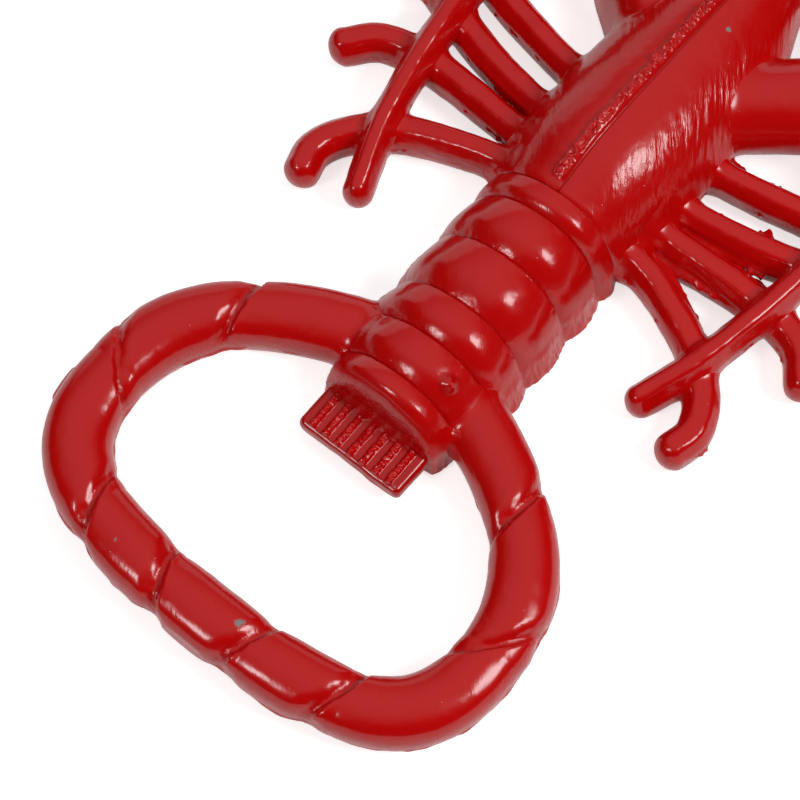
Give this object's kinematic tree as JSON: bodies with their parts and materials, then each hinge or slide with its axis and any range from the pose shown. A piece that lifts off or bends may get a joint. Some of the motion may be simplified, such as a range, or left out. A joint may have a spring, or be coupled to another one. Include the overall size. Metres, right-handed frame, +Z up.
{
  "type": "lobster bottle opener",
  "caption": "Lobster-shaped cast bottle opener in glossy red enamel: a ridged lip under the tail reaches into a rope-like ring that levers off a crown cap.",
  "frame": {"origin": "middle of the carapace's flat belly, on the surface that the opener lies on", "axes": "+Y along the body towards the head and claws, +X to the lobster's right, +Z up"},
  "size_m": [0.0802, 0.1517, 0.0161],
  "materials": {
    "red_enamel": "thick glossy red enamel over a casting"
  },
  "bodies": {
    "root": {"carapace": "red_enamel", "abdomen": "red_enamel", "opener_lip": "red_enamel", "tail_ring": "red_enamel", "left_leg_1": "red_enamel", "left_leg_2": "red_enamel", "left_leg_3": "red_enamel", "left_leg_4": "red_enamel", "right_leg_1": "red_enamel", "right_leg_2": "red_enamel", "right_leg_3": "red_enamel", "right_leg_4": "red_enamel", "left_antenna": "red_enamel", "right_antenna": "red_enamel", "left_claw_arm": "red_enamel", "right_claw_arm": "red_enamel", "left_claw": "red_enamel", "right_claw": "red_enamel", "left_claw_finger": "red_enamel", "right_claw_finger": "red_enamel", "left_eye": "red_enamel", "right_eye": "red_enamel"}
  },
  "joints": []
}
